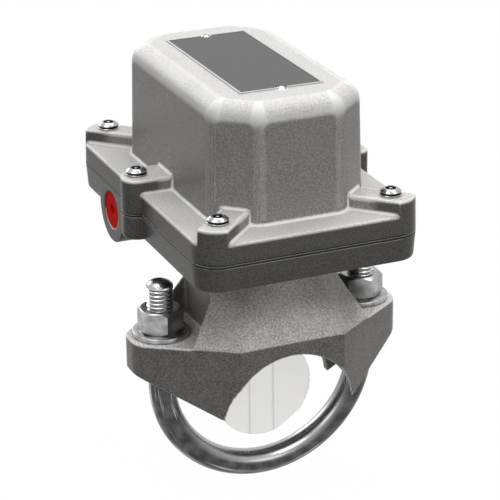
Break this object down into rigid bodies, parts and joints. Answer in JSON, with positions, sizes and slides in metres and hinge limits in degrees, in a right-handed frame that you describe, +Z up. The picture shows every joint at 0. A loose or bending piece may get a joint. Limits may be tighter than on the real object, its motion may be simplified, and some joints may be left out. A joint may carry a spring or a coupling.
{
  "type": "vane flow switch",
  "caption": "Vane flow switch: a die-cast switch housing with a domed cover on a pipe saddle, with a swinging vane and a U-bolt pipe clamp.",
  "frame": {"origin": "on the axis of the saddle's arch, which is the pipe's axis, under the stem", "axes": "+X across the pipe in the plane of the U-bolt, +Y along the pipe from the stem to the switches, +Z up through the stem"},
  "size_m": [0.135, 0.1623, 0.2044],
  "materials": {
    "cast_body": "fine-grained silver-grey die casting",
    "cast_saddle": "rough grey casting",
    "zinc_steel": "bright zinc plate",
    "galvanised": "mottled galvanised rod",
    "stainless": "polished stainless steel",
    "sheet_steel": "zinc-plated sheet",
    "plate_grey": "satin grey plate with a bright border",
    "red_plastic": "moulded red plastic",
    "clear_vane": "milky flexible plastic",
    "gasket_rubber": "black rubber",
    "gasket_light": "pale gasket",
    "brass_parts": "turned brass",
    "black_plastic": "black moulding",
    "white_plastic": "white moulding"
  },
  "bodies": {
    "root": {"cover": "cast_body", "cover_gasket": "gasket_light", "cover_screws": "stainless", "cover_screw_washers": "stainless", "name_plate": "plate_grey", "name_plate_rivets": "stainless", "base_housing": "cast_body", "conduit_plug": "red_plastic", "ground_screw": "brass_parts", "saddle": "cast_saddle", "saddle_screws": "zinc_steel", "pipe_gasket": "gasket_rubber", "u_bolt": "galvanised", "u_bolt_washers": "zinc_steel", "u_bolt_nuts": "zinc_steel", "pivot_bracket": "sheet_steel", "pivot_pin": "stainless", "mechanism_bracket": "sheet_steel", "bracket_screws": "zinc_steel", "delay_body": "black_plastic", "delay_cap": "black_plastic", "delay_cap_screws": "zinc_steel", "left_switch": "black_plastic", "right_switch": "black_plastic", "switch_terminals": "brass_parts", "terminal_screws": "zinc_steel", "switch_screws": "zinc_steel"},
    "stem": {"stem_lever": "brass_parts", "stem_boot": "gasket_rubber", "return_spring": "stainless", "vane": "clear_vane", "vane_clamp_plate": "stainless", "vane_screws": "stainless"},
    "plunger": {"delay_plunger": "white_plastic", "delay_spring": "stainless", "trip_bar": "white_plastic"},
    "left_button": {"left_switch_button": "red_plastic"},
    "right_button": {"right_switch_button": "red_plastic"},
    "dial": {"delay_dial": "white_plastic"}
  },
  "joints": [
    {"name": "stem_swing", "type": "hinge", "parent": "root", "child": "stem", "pos_m": [0, 0, 0.092], "axis": [1, 0, 0], "range_deg": [0, 11], "stiffness_Nm_per_rad": 0.6, "springref_deg": -17.19},
    {"name": "plunger_slide", "type": "slide", "parent": "root", "child": "plunger", "axis": [0, -1, 0], "range_m": [0, 0.0045]},
    {"name": "left_button_slide", "type": "slide", "parent": "root", "child": "left_button", "axis": [0, -1, 0], "range_m": [0, 0.0013]},
    {"name": "right_button_slide", "type": "slide", "parent": "root", "child": "right_button", "axis": [0, -1, 0], "range_m": [0, 0.0013]},
    {"name": "delay_dial_turn", "type": "hinge", "parent": "root", "child": "dial", "pos_m": [0, 0.044, 0.128], "axis": [0, 0, 1], "range_deg": [0, 300]}
  ],
  "couplings": [
    {"joint": "plunger_slide", "follows": "stem_swing", "m_per_rad": 0.022},
    {"joint": "left_button_slide", "follows": "stem_swing", "m_per_rad": 0.00625},
    {"joint": "right_button_slide", "follows": "stem_swing", "m_per_rad": 0.00625}
  ]
}
